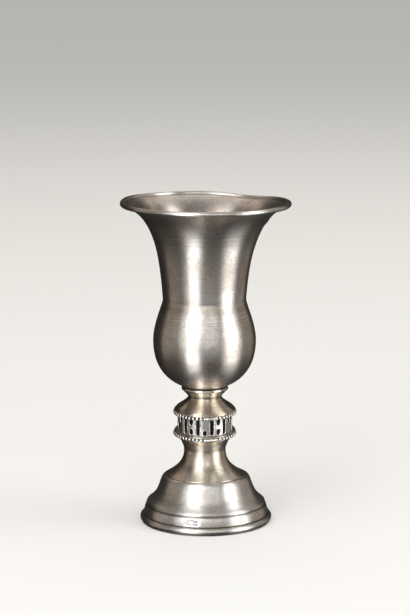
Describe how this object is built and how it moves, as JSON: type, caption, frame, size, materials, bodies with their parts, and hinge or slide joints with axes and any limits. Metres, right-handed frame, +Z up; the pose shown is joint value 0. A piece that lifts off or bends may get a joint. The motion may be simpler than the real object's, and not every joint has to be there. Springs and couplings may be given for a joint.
{
  "type": "kiddush cup",
  "caption": "Stemmed silver ceremonial wine cup with a bell-shaped bowl, a beaded knop cut with a row of strokes, a trumpet stem and a spun domed foot, hollow beneath.",
  "frame": {"origin": "centre of the circle that the foot stands on, under the centre of the lip", "axes": "+Z up the cup's axis from foot to lip; -Y towards the viewer of the front, +X to that viewer's right"},
  "size_m": [0.0708, 0.0708, 0.1355],
  "materials": {
    "foot_silver": "satin spun silver, scratched, with dark grooves and a grey-brown tarnish",
    "stem_silver": "satin silver with a warm beige tarnish",
    "bead_silver": "rubbed bright beads with dark gaps",
    "band_silver": "bright cast silver, strokes blackened",
    "bowl_silver": "satin spun silver with fine turning lines, brownish tarnish at belly and waist"
  },
  "bodies": {
    "root": {"foot": "foot_silver", "stem": "stem_silver", "bead_wire_lower": "bead_silver", "inscription_band": "band_silver", "bead_wire_upper": "bead_silver", "neck": "stem_silver", "bowl_collar": "stem_silver", "bowl": "bowl_silver"}
  },
  "joints": []
}
